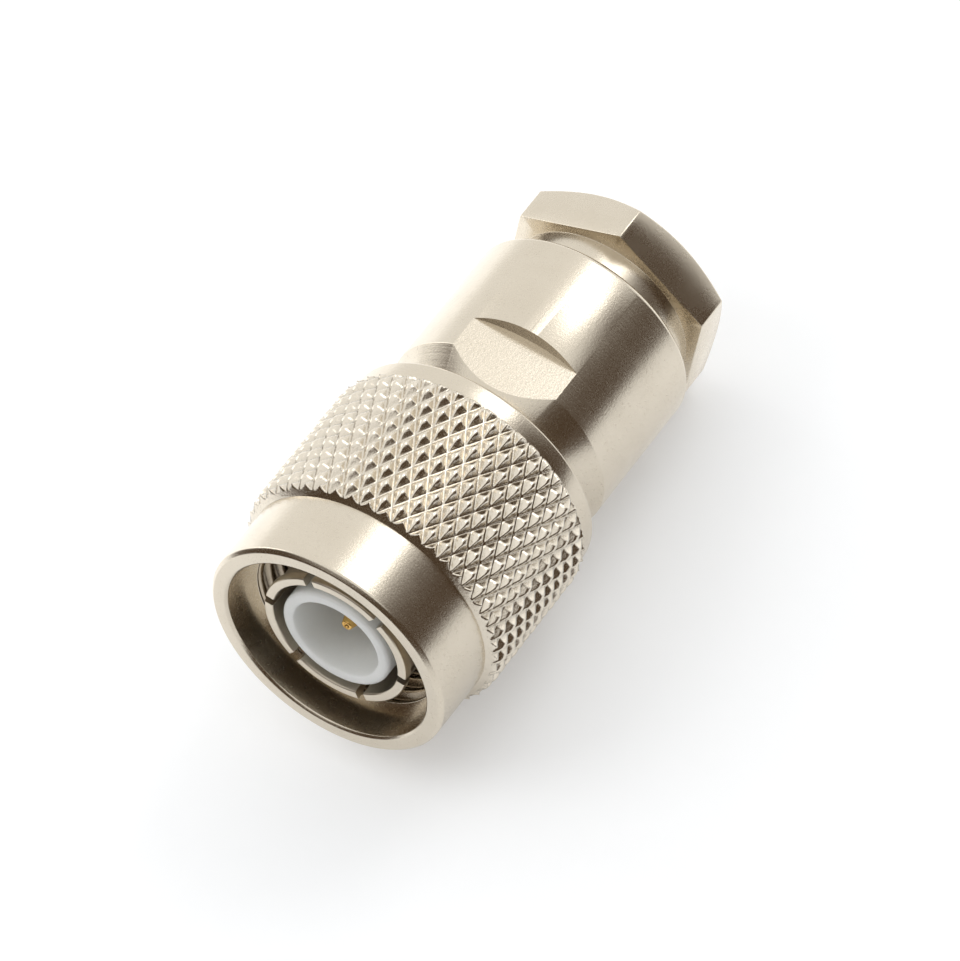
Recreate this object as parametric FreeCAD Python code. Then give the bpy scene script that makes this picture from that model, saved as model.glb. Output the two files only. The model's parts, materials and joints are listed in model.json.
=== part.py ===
import FreeCAD, Part
import math
import os

# Clamp-type coaxial plug with a threaded coupling nut, lying on its side.
# All lengths are millimetres and all angles are degrees.
# Each piece is drawn on its own axis first: s runs along that axis from the nut's
# front rim (s = 0) to the cable end, and angles go round it with 90 pointing up.

# Coupling nut, outside. Its radii follow from its mouth.
collar_wall = 0.99
collar_edge = 0.22
nut_rear_s = 13.65
rear_band_stand_out = 0.05
rear_band_edge = 0.16

# Diamond knurl: pyramids in rings, every second ring turned by half a pyramid
knurl_stand_out = 0.68
knurl_depth = 0.43
knurl_count = 47
knurl_rows = 10
knurl_front_s = 3.95
knurl_rear_s = 12.6
knurl_front_bevel = 0.33

# Coupling nut, inside. A jack's threaded tube goes between it and the outer contact.
mouth_step = 0.68
mouth_edge = 0.14
mouth_depth = 2.0
jack_wall = 1.15
coupling_thread_lead = 0.15
coupling_thread_end_s = 7.2
thread_relief_depth = 0.5
thread_relief_end_s = 8.5

# Body
neck_wall = 0.95
neck_front_s = 8.9
neck_edge = 0.15
cone_front_s = 13.97
barrel_front_s = 15.97
barrel_rear_s = 24.1
barrel_edge = 0.25
wrench_flat_depth = 0.78
wrench_flat_rear_s = 18.6
wrench_flat_angle = 115.0
wrench_cutter_r = 6.9
gland_wall = 1.23
gland_seat_front_s = 15.5
gland_seat_rear_s = 17.0

# Retaining ring and its two grooves
ring_groove_depth = 0.5
ring_stand_out = 0.55
ring_front_s = 11.2
ring_thickness = 0.86
ring_split_angle = 38.0
nut_groove_depth_play = 0.25
nut_groove_side_play = 0.15

# Outer contact
contact_r = 4.0
contact_wall = 0.35
finger_bulge = 0.17
finger_tip_s = 0.84
finger_bulge_length = 0.5
finger_bulge_run_out = 0.15
finger_inner_edge = 0.06
finger_outer_edge = 0.06
finger_count = 6
slot_width = 0.5
slot_depth = 5.8
slot_phase = 29.0
contact_rear_s = 12.9

# Face gasket
gasket_thickness = 1.0
gasket_width = 1.0

# Insulators
insulator_front_s = 0.95
insulator_nose_gap = 0.45
insulator_nose_end_s = 7.4
insulator_nose_wall = 0.67
insulator_mouth_edge = 0.25
insulator_nose_edge = 0.12
insulator_cavity_end_s = 6.4
insulator_joint_s = 13.45

# Centre contact
pin_r = 0.675
pin_tip_r = 0.28
pin_tip_s = 2.05
pin_taper_length = 1.3
pin_dimple_r = 0.12
pin_dimple_depth = 0.15
collar_contact_r = 1.15
collar_contact_length = 0.5
solder_pot_r = 1.0
solder_pot_rear_s = 16.6
solder_hole_r = 0.5
solder_hole_depth = 2.2

# Cable that the gland is made for
cable_r = 2.5
cable_core_r = 1.48

# Braid clamp
clamp_nose_length = 1.3
clamp_length = 2.65

# Cable gasket
cable_gasket_length = 2.05
cable_gasket_wall = 2.43
gasket_groove_depth = 0.5
gasket_groove_half_width = 0.55

# Gland washer
washer_thickness = 0.55

# Clamp nut
clamp_nut_shank_front_s = 22.1
clamp_nut_shank_edge = 0.2
hexagon_front_s = 25.84
hexagon_rear_s = 28.55
hexagon_bevel_inset = 0.45
hexagon_bevel_angle = 30.0
cable_bore_edge = 0.3

# Clearances
turning_gap = 0.08
gland_fit_gap = 0.07
gland_thread_gap = 0.05
insulator_fit_gap = 0.02
stacking_gap = 0.05
washer_gap = 0.03
jacket_gap = 0.05
core_gap = 0.12
washer_bore_gap = 0.2
cable_bore_gap = 0.25

# Radii that follow: the insulators inside the outer contact
contact_bore_r = contact_r - contact_wall
insulator_r = contact_bore_r - insulator_fit_gap
insulator_nose_r = contact_bore_r - insulator_nose_gap
insulator_mouth_r = insulator_nose_r - insulator_nose_wall

# Radii that follow: the neck, the ring and the nut outside it
neck_r = contact_r + neck_wall
nut_bore_r = neck_r + turning_gap
ring_groove_floor_r = neck_r - ring_groove_depth
ring_outer_r = neck_r + ring_stand_out
nut_groove_r = ring_outer_r + nut_groove_depth_play
gasket_outer_r = contact_r + gasket_width
coupling_thread_r = contact_r + jack_wall
thread_relief_r = coupling_thread_r + thread_relief_depth
mouth_r = coupling_thread_r + mouth_step
collar_r = mouth_r + collar_wall
knurl_r = collar_r + knurl_stand_out
knurl_root_r = knurl_r - knurl_depth
rear_band_r = knurl_root_r + rear_band_stand_out

# Radii that follow: the gland, from the cable outwards
clamp_nose_bore_r = cable_core_r + core_gap
clamp_jacket_bore_r = cable_r + jacket_gap
cable_gasket_bore_r = cable_r + jacket_gap
washer_bore_r = cable_r + washer_bore_gap
cable_bore_r = cable_r + cable_bore_gap
gland_piece_r = cable_gasket_bore_r + cable_gasket_wall
gasket_groove_mid_r = (cable_gasket_bore_r + gland_piece_r) / 2
gland_bore_r = gland_piece_r + gland_fit_gap
clamp_nut_shank_r = gland_bore_r - gland_thread_gap
barrel_r = gland_bore_r + gland_wall
wrench_flat_half = barrel_r - wrench_flat_depth

# Places that follow, from the front to the rear
ring_rear_s = ring_front_s + ring_thickness
clamp_front_s = gland_seat_front_s + stacking_gap
clamp_rear_s = clamp_front_s + clamp_length
cable_gasket_front_s = clamp_rear_s + stacking_gap
cable_gasket_rear_s = cable_gasket_front_s + cable_gasket_length
washer_rear_s = clamp_nut_shank_front_s - washer_gap
washer_front_s = washer_rear_s - washer_thickness

# The clamp nut takes the same wrench as the body.
full_turn = 360.0
hexagon_sides = 6
hexagon_side_angle = full_turn / hexagon_sides
hexagon_half_flats = wrench_flat_half
hexagon_rear_face_r = hexagon_half_flats - hexagon_bevel_inset
hexagon_corner_r = hexagon_half_flats / math.cos(math.radians(hexagon_side_angle / 2))

# Two tips of the knurl's last ring stand on the ground, one on each side of the middle.
knurl_pitch_angle = full_turn / knurl_count
knurl_row_pitch = (knurl_rear_s - knurl_front_s) / knurl_rows
knurl_stand_r = knurl_r * math.cos(math.radians(knurl_pitch_angle / 2))

# The plug lies on those tips and on the rear edge of the barrel, so its cable end
# hangs lower, and it has rolled until a corner of the hexagon stops it.
barrel_contact_s = barrel_rear_s - barrel_edge
ground_slope = (knurl_stand_r - barrel_r) / (barrel_contact_s - knurl_rear_s)
ground_r_at_hexagon = knurl_stand_r - (hexagon_front_s - knurl_rear_s) * ground_slope
corner_lean = math.degrees(math.acos(min(1.0, ground_r_at_hexagon / hexagon_corner_r)))
rest_dip = math.degrees(math.atan(ground_slope))
rest_roll = hexagon_side_angle / 2 - corner_lean
ground_angle = 270.0 + rest_roll


def vec(x, y, z):
    return FreeCAD.Vector(x, y, z)


# Solid of revolution from a closed profile of (radius, s) corners.
def revolved(profile):
    corners = [vec(radius, 0, s) for radius, s in profile]
    face = Part.Face(Part.makePolygon(corners + corners[:1]))
    return face.revolve(vec(0, 0, 0), vec(0, 0, 1), full_turn)


def tube(inner_r, outer_r, front_s, rear_s):
    return revolved([(inner_r, front_s), (outer_r, front_s), (outer_r, rear_s), (inner_r, rear_s)])


def turned(shape, angle):
    copy = shape.copy()
    copy.rotate(vec(0, 0, 0), vec(0, 0, 1), angle)
    return copy


def round_point(radius, angle, s):
    turn = math.radians(angle)
    return vec(radius * math.cos(turn), radius * math.sin(turn), s)


def triangle(a, b, c):
    return Part.Face(Part.makePolygon([a, b, c, a]))


# Diamond knurl. Each pyramid has its tip on the outer radius and its four corners
# where the two sets of helical V grooves cross, on the root radius. The rings of
# tips at both ends of the band are cut in half by its flat end faces.
def knurled_band():
    half_pitch = knurl_pitch_angle / 2
    faces = []
    ends = {0: [], knurl_rows: []}
    for row in range(knurl_rows + 1):
        s = knurl_front_s + row * knurl_row_pitch
        offset = ground_angle + half_pitch * (1 + (knurl_rows - row) % 2)
        for step in range(knurl_count):
            angle = offset + step * knurl_pitch_angle
            tip = round_point(knurl_r, angle, s)
            left = round_point(knurl_root_r, angle - half_pitch, s)
            right = round_point(knurl_root_r, angle + half_pitch, s)
            if row > 0:
                ahead = round_point(knurl_root_r, angle, s - knurl_row_pitch)
                faces.append(triangle(tip, left, ahead))
                faces.append(triangle(tip, ahead, right))
            if row < knurl_rows:
                behind = round_point(knurl_root_r, angle, s + knurl_row_pitch)
                faces.append(triangle(tip, behind, left))
                faces.append(triangle(tip, right, behind))
            if row in ends:
                ends[row] += [left, tip]
    for outline in ends.values():
        faces.append(Part.Face(Part.makePolygon(outline + outline[:1])))
    shell = Part.makeShell(faces)
    shell.sewShape()
    band = Part.makeSolid(Part.Shell(shell.Faces))
    if band.Volume < 0:
        band.reverse()
    return band.common(knurl_front_cone())


# The band's front is turned to a steep cone, which the grooves run out on.
def knurl_front_cone():
    rise = (knurl_r - collar_r) / knurl_front_bevel
    far_r = knurl_r + collar_r
    return revolved([
        (0, knurl_front_s),
        (collar_r, knurl_front_s),
        (far_r, knurl_front_s + (far_r - collar_r) / rise),
        (far_r, nut_rear_s),
        (0, nut_rear_s),
    ])


def coupling_nut():
    core = revolved([
        (0, 0),
        (collar_r - collar_edge, 0),
        (collar_r, collar_edge),
        (collar_r, knurl_rear_s),
        (rear_band_r, knurl_rear_s),
        (rear_band_r, nut_rear_s - rear_band_edge),
        (rear_band_r - rear_band_edge, nut_rear_s),
        (0, nut_rear_s),
    ])
    relief_start_s = coupling_thread_end_s + thread_relief_depth
    hollow = revolved([
        (0, 0),
        (mouth_r + mouth_edge, 0),
        (mouth_r, mouth_edge),
        (mouth_r, mouth_depth),
        (coupling_thread_r + coupling_thread_lead, mouth_depth),
        (coupling_thread_r, mouth_depth + coupling_thread_lead),
        (coupling_thread_r, coupling_thread_end_s),
        (thread_relief_r, relief_start_s),
        (thread_relief_r, thread_relief_end_s),
        (nut_bore_r, thread_relief_end_s),
        (nut_bore_r, nut_rear_s),
        (0, nut_rear_s),
    ])
    groove = tube(
        0, nut_groove_r, ring_front_s - nut_groove_side_play, ring_rear_s + nut_groove_side_play)
    return core.fuse(knurled_band()).cut(hollow).cut(groove)


# Each wrench flat is milled square to the axis with a large cutter, which leaves a
# rounded step behind it.
def wrench_flat_cut(angle):
    cutter = Part.makeCylinder(
        wrench_cutter_r,
        barrel_r,
        vec(wrench_flat_half, 0, wrench_flat_rear_s - wrench_cutter_r),
        vec(1, 0, 0),
    )
    return turned(cutter, angle)


def body():
    outside = revolved([
        (0, neck_front_s),
        (neck_r - neck_edge, neck_front_s),
        (neck_r, neck_front_s + neck_edge),
        (neck_r, ring_front_s),
        (ring_groove_floor_r, ring_front_s),
        (ring_groove_floor_r, ring_rear_s),
        (neck_r, ring_rear_s),
        (neck_r, cone_front_s),
        (barrel_r, barrel_front_s),
        (barrel_r, barrel_contact_s),
        (barrel_r - barrel_edge, barrel_rear_s),
        (0, barrel_rear_s),
    ])
    hollow = revolved([
        (0, neck_front_s),
        (contact_r, neck_front_s),
        (contact_r, contact_rear_s),
        (contact_bore_r, contact_rear_s),
        (contact_bore_r, gland_seat_front_s),
        (gland_bore_r, gland_seat_rear_s),
        (gland_bore_r, barrel_rear_s),
        (0, barrel_rear_s),
    ])
    shape = outside.cut(hollow)
    for angle in (wrench_flat_angle, wrench_flat_angle + full_turn / 2):
        shape = shape.cut(wrench_flat_cut(angle))
    return shape


# A spring ring, open at one side so that it can be squeezed into its groove.
def retaining_ring():
    ring = tube(ring_groove_floor_r, ring_outer_r, ring_front_s, ring_rear_s)
    wedge = Part.makeCylinder(
        nut_groove_r, ring_thickness, vec(0, 0, ring_front_s), vec(0, 0, 1), ring_split_angle)
    return ring.cut(turned(wedge, -ring_split_angle / 2))


# A thin-walled sleeve with a bulged front end, slotted into spring fingers.
def outer_contact():
    bulge_r = contact_r + finger_bulge
    bulge_end_s = finger_tip_s + finger_bulge_length
    sleeve = revolved([
        (contact_bore_r + finger_inner_edge, finger_tip_s),
        (bulge_r - finger_outer_edge, finger_tip_s),
        (bulge_r, finger_tip_s + finger_outer_edge),
        (bulge_r, bulge_end_s),
        (contact_r, bulge_end_s + finger_bulge_run_out),
        (contact_r, contact_rear_s),
        (contact_bore_r, contact_rear_s),
        (contact_bore_r, finger_tip_s + finger_inner_edge),
    ])
    for step in range(finger_count):
        slot = Part.makeBox(
            neck_r, slot_width, slot_depth, vec(0, -slot_width / 2, finger_tip_s))
        sleeve = sleeve.cut(turned(slot, slot_phase + step * full_turn / finger_count))
    return sleeve


def face_gasket():
    front_s = neck_front_s - gasket_thickness
    return tube(contact_r + insulator_fit_gap, gasket_outer_r, front_s, neck_front_s)


def front_insulator():
    pin_hole_r = pin_r + insulator_fit_gap
    collar_hole_r = collar_contact_r + insulator_fit_gap
    return revolved([
        (insulator_mouth_r + insulator_mouth_edge, insulator_front_s),
        (insulator_nose_r - insulator_nose_edge, insulator_front_s),
        (insulator_nose_r, insulator_front_s + insulator_nose_edge),
        (insulator_nose_r, insulator_nose_end_s),
        (insulator_r, insulator_nose_end_s),
        (insulator_r, insulator_joint_s),
        (collar_hole_r, insulator_joint_s),
        (collar_hole_r, insulator_joint_s - collar_contact_length - stacking_gap),
        (pin_hole_r, insulator_joint_s - collar_contact_length - stacking_gap),
        (pin_hole_r, insulator_cavity_end_s),
        (insulator_mouth_r, insulator_cavity_end_s),
        (insulator_mouth_r, insulator_front_s + insulator_mouth_edge),
    ])


def rear_insulator():
    front_s = insulator_joint_s + stacking_gap
    return tube(solder_pot_r + insulator_fit_gap, insulator_r, front_s, gland_seat_front_s)


# Pin with a tapered, dimpled tip, the shoulder that the insulators trap, and the
# drilled rear end that takes the cable's inner wire.
def centre_contact():
    shoulder_front_s = insulator_joint_s - collar_contact_length
    hole_front_s = solder_pot_rear_s - solder_hole_depth
    return revolved([
        (0, pin_tip_s + pin_dimple_depth),
        (pin_dimple_r, pin_tip_s),
        (pin_tip_r, pin_tip_s),
        (pin_r, pin_tip_s + pin_taper_length),
        (pin_r, shoulder_front_s),
        (collar_contact_r, shoulder_front_s),
        (collar_contact_r, insulator_joint_s),
        (solder_pot_r, insulator_joint_s),
        (solder_pot_r, solder_pot_rear_s),
        (solder_hole_r, solder_pot_rear_s),
        (solder_hole_r, hole_front_s),
        (0, hole_front_s),
    ])


# The sleeve's nose has the same cone as its seat in the body.
def braid_clamp():
    seat_length = gland_seat_rear_s - gland_seat_front_s
    seat_rise = gland_bore_r - contact_bore_r
    nose_r = contact_bore_r - gland_fit_gap
    shoulder_s = clamp_front_s + (gland_piece_r - nose_r) * seat_length / seat_rise
    return revolved([
        (clamp_nose_bore_r, clamp_front_s),
        (nose_r, clamp_front_s),
        (gland_piece_r, shoulder_s),
        (gland_piece_r, clamp_rear_s),
        (clamp_jacket_bore_r, clamp_rear_s),
        (clamp_jacket_bore_r, clamp_front_s + clamp_nose_length),
        (clamp_nose_bore_r, clamp_front_s + clamp_nose_length),
    ])


def cable_gasket():
    inner_lip_r = gasket_groove_mid_r - gasket_groove_half_width
    outer_lip_r = gasket_groove_mid_r + gasket_groove_half_width
    return revolved([
        (cable_gasket_bore_r, cable_gasket_front_s),
        (inner_lip_r, cable_gasket_front_s),
        (gasket_groove_mid_r, cable_gasket_front_s + gasket_groove_depth),
        (outer_lip_r, cable_gasket_front_s),
        (gland_piece_r, cable_gasket_front_s),
        (gland_piece_r, cable_gasket_rear_s),
        (outer_lip_r, cable_gasket_rear_s),
        (gasket_groove_mid_r, cable_gasket_rear_s - gasket_groove_depth),
        (inner_lip_r, cable_gasket_rear_s),
        (cable_gasket_bore_r, cable_gasket_rear_s),
    ])


def gland_washer():
    return tube(washer_bore_r, gland_piece_r, washer_front_s, washer_rear_s)


def hexagon():
    corners = [
        round_point(hexagon_corner_r, hexagon_side_angle * step, hexagon_front_s)
        for step in range(hexagon_sides)
    ]
    outline = Part.Face(Part.makePolygon(corners + corners[:1]))
    block = outline.extrude(vec(0, 0, hexagon_rear_s - hexagon_front_s))
    slope = math.tan(math.radians(hexagon_bevel_angle))
    far_r = hexagon_corner_r + hexagon_half_flats
    far_s = hexagon_rear_s - (far_r - hexagon_rear_face_r) * slope
    bevel = revolved([
        (0, hexagon_front_s - hexagon_half_flats),
        (far_r, hexagon_front_s - hexagon_half_flats),
        (far_r, far_s),
        (hexagon_rear_face_r, hexagon_rear_s),
        (0, hexagon_rear_s),
    ])
    return block.common(bevel)


def clamp_nut():
    shank = revolved([
        (0, clamp_nut_shank_front_s),
        (clamp_nut_shank_r - clamp_nut_shank_edge, clamp_nut_shank_front_s),
        (clamp_nut_shank_r, clamp_nut_shank_front_s + clamp_nut_shank_edge),
        (clamp_nut_shank_r, hexagon_front_s),
        (0, hexagon_front_s),
    ])
    bore = revolved([
        (0, clamp_nut_shank_front_s),
        (cable_bore_r, clamp_nut_shank_front_s),
        (cable_bore_r, hexagon_rear_s - cable_bore_edge),
        (cable_bore_r + cable_bore_edge, hexagon_rear_s),
        (0, hexagon_rear_s),
    ])
    return shank.fuse(hexagon()).cut(bore)


# Lay the plug down: its axis runs along +Y, dipping towards the cable end, the
# ground is at z = 0 and the origin is under the middle of its length.
def resting_placement():
    dip = math.radians(rest_dip)
    front_y = -(collar_r - collar_edge) * math.sin(dip)
    rear_y = hexagon_rear_s * math.cos(dip) + hexagon_rear_face_r * math.sin(dip)
    lift = knurl_rear_s * math.sin(dip) + knurl_stand_r * math.cos(dip)
    laid_down = FreeCAD.Rotation(vec(1, 0, 0), -90.0 - rest_dip)
    facing = FreeCAD.Rotation(vec(0, 0, 1), 180.0 - rest_roll)
    return FreeCAD.Placement(vec(0, -(front_y + rear_y) / 2, lift), laid_down.multiply(facing))


pieces = {
    "coupling_nut": coupling_nut(),
    "body": body(),
    "retaining_ring": retaining_ring(),
    "outer_contact": outer_contact(),
    "face_gasket": face_gasket(),
    "front_insulator": front_insulator(),
    "rear_insulator": rear_insulator(),
    "centre_contact": centre_contact(),
    "braid_clamp": braid_clamp(),
    "cable_gasket": cable_gasket(),
    "gland_washer": gland_washer(),
    "clamp_nut": clamp_nut(),
}

os.makedirs("parts", exist_ok=True)
for name, shape in pieces.items():
    shape.Placement = resting_placement().multiply(shape.Placement)
    shape.exportStep("parts/" + name + ".step")
    print(name, "solids", len(shape.Solids), "valid", shape.isValid(), "volume", round(shape.Volume, 3))
print("rest dip", round(rest_dip, 4), "rest roll", round(rest_roll, 4))
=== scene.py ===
import bpy
import bmesh
import math
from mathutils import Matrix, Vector
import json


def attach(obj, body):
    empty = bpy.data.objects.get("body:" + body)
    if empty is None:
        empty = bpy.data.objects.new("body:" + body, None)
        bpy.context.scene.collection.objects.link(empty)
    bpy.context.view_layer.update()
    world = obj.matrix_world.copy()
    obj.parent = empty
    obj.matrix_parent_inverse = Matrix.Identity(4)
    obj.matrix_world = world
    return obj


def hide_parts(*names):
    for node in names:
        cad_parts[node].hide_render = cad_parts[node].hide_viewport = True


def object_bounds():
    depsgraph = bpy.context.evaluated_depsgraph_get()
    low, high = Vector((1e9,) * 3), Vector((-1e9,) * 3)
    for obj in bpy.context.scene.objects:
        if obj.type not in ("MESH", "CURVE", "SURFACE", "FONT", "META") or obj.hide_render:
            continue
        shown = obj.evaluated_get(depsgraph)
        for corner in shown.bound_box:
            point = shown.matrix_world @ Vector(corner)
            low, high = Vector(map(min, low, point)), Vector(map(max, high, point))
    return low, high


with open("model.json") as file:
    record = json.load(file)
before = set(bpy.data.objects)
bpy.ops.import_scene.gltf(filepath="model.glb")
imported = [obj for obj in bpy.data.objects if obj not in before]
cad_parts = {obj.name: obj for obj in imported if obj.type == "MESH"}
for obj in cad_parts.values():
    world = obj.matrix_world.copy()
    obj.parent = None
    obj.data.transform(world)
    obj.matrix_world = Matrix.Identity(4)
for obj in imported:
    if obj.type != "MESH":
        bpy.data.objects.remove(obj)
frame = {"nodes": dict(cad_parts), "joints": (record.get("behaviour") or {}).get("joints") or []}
cadBox = [list(corner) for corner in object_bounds()]
print("frame loaded:", len(frame["nodes"]), "nodes")

# How the plug lies. Sizes are millimetres and angles are degrees from here on;
# s is the distance behind the coupling nut's front rim.
lie = {
    "turnJointAt": 6.0,     # s of the coupling nut's joint
    "roll": 12.81,          # the plug rolls until a corner of the hexagon stops it
}
mm = 0.001
turnJoint = next(joint for joint in frame["joints"] if joint["name"] == "coupling_nut_turn")
rearward = Vector(turnJoint["axis"]).normalized()
upward = Vector((0, -rearward.z, rearward.y))
leftward = Vector((-1, 0, 0))
rimCentre = Vector(turnJoint["pos_m"]) - rearward * lie["turnJointAt"] * mm


def place(radius, angle, s):
    turn = math.radians(angle - lie["roll"])
    across = leftward * (radius * math.cos(turn)) + upward * (radius * math.sin(turn))
    return rimCentre + (across + rearward * s) * mm


# Corners are (radius, s) or (radius, s, softness); a soft corner becomes a small curve,
# which takes less than half of the edge on each side of it.
edgeShare = 0.49


def softened(corners, closed=True, steps=4):
    points = []
    count = len(corners)
    for i, corner in enumerate(corners):
        here = Vector(corner[:2])
        softness = corner[2] if len(corner) > 2 else 0
        if softness == 0 or (not closed and i in (0, count - 1)):
            points.append(here)
            continue
        before = Vector(corners[i - 1][:2])
        after = Vector(corners[(i + 1) % count][:2])
        start = here + (before - here).normalized() * min(softness, (before - here).length * edgeShare)
        end = here + (after - here).normalized() * min(softness, (after - here).length * edgeShare)
        for step in range(steps + 1):
            t = step / steps
            points.append(start * (1 - t) ** 2 + here * (2 * t * (1 - t)) + end * t ** 2)
    return points


# Skin over rings of points. Each ring is a list of places, or one place at a pole.
def ringSkin(rings, closed):
    vertices, starts, faces = [], [], []
    for ring in rings:
        starts.append(len(vertices))
        vertices.extend(ring)
    pairs = list(zip(range(len(rings)), range(1, len(rings))))
    if closed:
        pairs.append((len(rings) - 1, 0))
    for a, b in pairs:
        sizeA, sizeB = len(rings[a]), len(rings[b])
        for i in range(max(sizeA, sizeB)):
            j = (i + 1) % max(sizeA, sizeB)
            if sizeA == 1:
                faces.append((starts[a], starts[b] + i, starts[b] + j))
            elif sizeB == 1:
                faces.append((starts[a] + i, starts[b], starts[a] + j))
            else:
                faces.append((starts[a] + i, starts[b] + i, starts[b] + j, starts[a] + j))
    return vertices, faces


def turnedSkin(corners, segments=192, closed=True, steps=4):
    rings = []
    for point in softened(corners, closed, steps):
        if point.x == 0:
            rings.append([place(0, 0, point.y)])
        else:
            rings.append([place(point.x, 360 * i / segments, point.y) for i in range(segments)])
    return ringSkin(rings, closed)


def makeMesh(name, vertices, faces, smooth=True):
    mesh = bpy.data.meshes.new(name)
    mesh.from_pydata([tuple(v) for v in vertices], [], faces)
    shape = bmesh.new()
    shape.from_mesh(mesh)
    bmesh.ops.recalc_face_normals(shape, faces=shape.faces)
    shape.to_mesh(mesh)
    shape.free()
    for polygon in mesh.polygons:
        polygon.use_smooth = smooth
    return mesh


def addPiece(name, mesh):
    piece = bpy.data.objects.new(name, mesh)
    bpy.context.scene.collection.objects.link(piece)
    return piece


# Make a piece's modifiers part of its mesh.
def settleShape(piece):
    graph = bpy.context.evaluated_depsgraph_get()
    mesh = bpy.data.meshes.new_from_object(piece.evaluated_get(graph))
    piece.modifiers.clear()
    piece.data = mesh
    return piece


def cutAway(piece, cutter):
    cut = piece.modifiers.new("cut", "BOOLEAN")
    cut.operation = "DIFFERENCE"
    cut.solver = "EXACT"
    cut.object = cutter
    bpy.context.view_layer.update()
    settleShape(piece)
    bpy.data.objects.remove(cutter)


# Rounded edges, and shading that follows the large faces. Face areas are in square
# metres here, so faces count as equal when they differ by under a thousandth of a mm2.
shading = {"roundedFrom": 25, "edgeSteps": 2, "sharpFrom": 38, "areaWeight": 100, "equalAreas": 1e-9}


def softenEdges(piece, width, roundedFrom=shading["roundedFrom"]):
    if width > 0:
        bevel = piece.modifiers.new("soft edges", "BEVEL")
        bevel.width = width * mm
        bevel.segments = shading["edgeSteps"]
        bevel.limit_method = "ANGLE"
        bevel.angle_limit = math.radians(roundedFrom)
        bevel.use_clamp_overlap = True
        bpy.context.view_layer.update()
        settleShape(piece)
    piece.data.shade_smooth()
    piece.data.set_sharp_from_angle(angle=math.radians(shading["sharpFrom"]))
    even = piece.modifiers.new("even shading", "WEIGHTED_NORMAL")
    even.keep_sharp = True
    even.weight = shading["areaWeight"]
    even.thresh = shading["equalAreas"]
    bpy.context.view_layer.update()
    settleShape(piece)


def finishPiece(piece, body, slotName, material, *replaced):
    piece.data.materials.clear()
    piece.data.materials.append(material)
    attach(piece, body)
    if replaced:
        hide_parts(*replaced)
    return piece


# Node groups

def newGroup(name, inputs, outputs):
    group = bpy.data.node_groups.new(name, "ShaderNodeTree")
    for socketName, kind, value in inputs:
        socket = group.interface.new_socket(name=socketName, in_out="INPUT", socket_type=kind)
        socket.default_value = value
    for socketName, kind in outputs:
        group.interface.new_socket(name=socketName, in_out="OUTPUT", socket_type=kind)
    return group, group.nodes.new("NodeGroupInput"), group.nodes.new("NodeGroupOutput")


def addNode(tree, kind, settings=None, values=None):
    node = tree.nodes.new(kind)
    for key, value in (settings or {}).items():
        setattr(node, key, value)
    for key, value in (values or {}).items():
        node.inputs[key].default_value = value
    return node


def mathNode(tree, operation, a, b=None, clamp=False):
    node = tree.nodes.new("ShaderNodeMath")
    node.operation = operation
    node.use_clamp = clamp
    for index, value in enumerate((a, b)):
        if value is None:
            continue
        if isinstance(value, (int, float)):
            node.inputs[index].default_value = value
        else:
            tree.links.new(value, node.inputs[index])
    return node.outputs[0]


def mixColors(tree, factor, a, b):
    node = tree.nodes.new("ShaderNodeMix")
    node.data_type = "RGBA"
    for index, value in ((0, factor), (6, a), (7, b)):
        if isinstance(value, (int, float, tuple)):
            node.inputs[index].default_value = value
        else:
            tree.links.new(value, node.inputs[index])
    return node.outputs[2]


def dotWith(tree, vector, direction):
    node = addNode(tree, "ShaderNodeVectorMath", {"operation": "DOT_PRODUCT"})
    tree.links.new(vector, node.inputs[0])
    node.inputs[1].default_value = tuple(direction)
    return node.outputs["Value"]


# Place on the plug in millimetres: along the axis, out from it and round it.
def plugPlaceGroup():
    group, _, out = newGroup("plugPlace", [], [
        ("Place", "NodeSocketVector"), ("Station", "NodeSocketFloat"), ("Radius", "NodeSocketFloat"),
        ("Round", "NodeSocketFloat")])
    coordinates = addNode(group, "ShaderNodeTexCoord")
    fromRim = addNode(group, "ShaderNodeVectorMath", {"operation": "SUBTRACT"})
    group.links.new(coordinates.outputs["Object"], fromRim.inputs[0])
    fromRim.inputs[1].default_value = tuple(rimCentre)
    x = dotWith(group, fromRim.outputs[0], leftward / mm)
    y = dotWith(group, fromRim.outputs[0], upward / mm)
    s = dotWith(group, fromRim.outputs[0], rearward / mm)
    together = addNode(group, "ShaderNodeCombineXYZ")
    for socket, value in zip(together.inputs, (x, y, s)):
        group.links.new(value, socket)
    radius = mathNode(group, "SQRT", mathNode(
        group, "ADD", mathNode(group, "MULTIPLY", x, x), mathNode(group, "MULTIPLY", y, y)))
    group.links.new(together.outputs[0], out.inputs["Place"])
    group.links.new(s, out.inputs["Station"])
    group.links.new(radius, out.inputs["Radius"])
    group.links.new(mathNode(group, "ARCTAN2", y, x), out.inputs["Round"])
    return group


# Satin plating: faint clouding, fine pits and the lines that the lathe left.
platingLook = {
    "cloudScale": 0.55, "cloudFrom": 0.42, "cloudGain": 2.6, "dullRoughness": 0.12,
    "pitFrom": 0.43, "pitGain": 7.0, "pitRoughness": 0.12, "pitShare": 0.35, "pitColor": (0.32, 0.27, 0.2, 1),
    "lineTurn": 0.6,        # how much the lathe's lines change round the plug
}


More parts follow.
